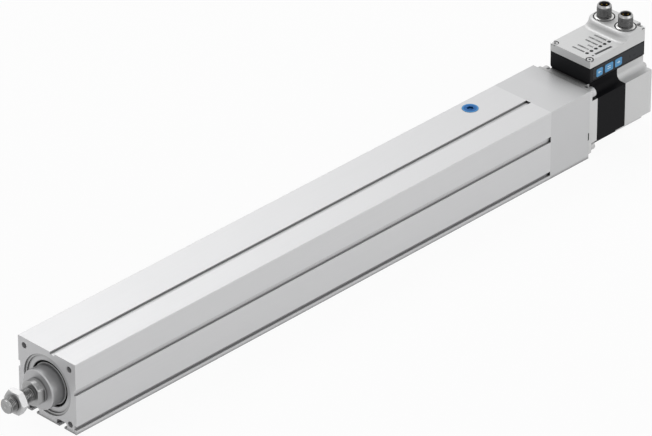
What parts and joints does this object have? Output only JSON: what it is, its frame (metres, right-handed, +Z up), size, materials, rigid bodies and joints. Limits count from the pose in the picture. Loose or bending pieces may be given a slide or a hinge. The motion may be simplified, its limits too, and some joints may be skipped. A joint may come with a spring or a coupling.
{
  "type": "electric cylinder",
  "caption": "In-line electric cylinder: a square slotted profile with a sliding piston rod, driven by a ball screw, with a stepper motor and its controller at the rear.",
  "frame": {"origin": "centre of the profile's front face, on the piston rod's axis", "axes": "+X along the piston rod's axis from the rod end towards the motor, +Z up through the controller, +Y across, away from the side with the keys"},
  "size_m": [0.6677, 0.06, 0.0977],
  "materials": {
    "anodised_profile": "extruded, satin anodised",
    "machined_aluminium": "machined, anodised",
    "cast_aluminium": "die-cast, fine blasted",
    "black_laminations": "stacked sheet, black coated",
    "ground_steel": "ground and polished",
    "turned_steel": "turned",
    "zinc_steel": "zinc plated",
    "bearing_steel": "ground",
    "black_rubber": "moulded",
    "bearing_plastic": "moulded, dry running",
    "magnet_material": "sintered",
    "enamelled_copper": "wound wire",
    "board_laminate": "glass laminate",
    "capacitor_cans": "drawn cans",
    "black_housing_plastic": "moulded, fine grain",
    "keypad_foil": "polyester foil",
    "blue_plastic": "moulded",
    "lamp_lens": "clear moulded",
    "nickel_plated_brass": "turned, nickel plated",
    "gold_plated_contacts": "turned, gold plated"
  },
  "bodies": {
    "cylinder": {"profile_tube": "anodised_profile", "bearing_cap": "machined_aluminium", "guide_bush": "bearing_plastic", "rod_wiper": "black_rubber", "retaining_ring": "zinc_steel", "front_bumper": "black_rubber", "rear_bumper": "black_rubber", "lubrication_plug": "blue_plastic", "drive_housing": "machined_aluminium", "spindle_bearing_outer_rings": "bearing_steel", "bearing_clamp_ring": "turned_steel", "tie_screws": "zinc_steel", "motor_flange": "cast_aluminium", "motor_bearing_outer_rings": "bearing_steel", "stator_stack": "black_laminations", "stator_windings": "enamelled_copper", "motor_rear_cover": "cast_aluminium", "motor_end_plate": "cast_aluminium", "motor_screws": "zinc_steel", "encoder_board": "board_laminate", "controller_base": "black_housing_plastic", "base_gasket": "black_rubber", "controller_cover": "cast_aluminium", "cover_screws": "zinc_steel", "circuit_board": "board_laminate", "board_capacitors": "capacitor_cans", "led_lenses": "lamp_lens", "keypad_panel": "keypad_foil", "keypad_board": "board_laminate", "power_connector": "nickel_plated_brass", "signal_connector": "nickel_plated_brass", "connector_inserts": "black_housing_plastic", "connector_pins": "gold_plated_contacts", "connector_seals": "black_rubber"},
    "rod": {"piston_rod": "ground_steel", "rod_end": "turned_steel", "lock_nut": "zinc_steel", "piston": "machined_aluminium", "guide_band": "bearing_plastic", "magnet_ring": "magnet_material", "ball_nut": "ground_steel", "nut_screws": "zinc_steel"},
    "spindle": {"screw_spindle": "ground_steel", "support_ring": "bearing_plastic", "spindle_bearing_inner_rings": "bearing_steel", "spindle_nut": "turned_steel", "spindle_hub": "machined_aluminium", "coupling_spider": "black_rubber", "motor_hub": "machined_aluminium", "motor_shaft": "ground_steel", "rotor_cups": "bearing_steel", "rotor_magnet": "magnet_material", "motor_bearing_inner_rings": "bearing_steel", "encoder_magnet": "magnet_material"},
    "back_key": {"key_back": "blue_plastic"},
    "enter_key": {"key_enter": "blue_plastic"},
    "next_key": {"key_next": "blue_plastic"}
  },
  "joints": [
    {"name": "rod_slide", "type": "slide", "parent": "cylinder", "child": "rod", "axis": [-1, 0, 0], "range_m": [0, 0.35]},
    {"name": "spindle_turn", "type": "hinge", "parent": "cylinder", "child": "spindle", "pos_m": [0.5, 0, 0], "axis": [1, 0, 0], "range_deg": [0, 10502]},
    {"name": "back_key_press", "type": "slide", "parent": "cylinder", "child": "back_key", "axis": [0, 1, 0], "range_m": [0, 0.0003], "stiffness_N_per_m": 1500},
    {"name": "enter_key_press", "type": "slide", "parent": "cylinder", "child": "enter_key", "axis": [0, 1, 0], "range_m": [0, 0.0003], "stiffness_N_per_m": 1500},
    {"name": "next_key_press", "type": "slide", "parent": "cylinder", "child": "next_key", "axis": [0, 1, 0], "range_m": [0, 0.0003], "stiffness_N_per_m": 1500}
  ],
  "couplings": [
    {"joint": "spindle_turn", "follows": "rod_slide", "rad_per_m": 523.6}
  ]
}
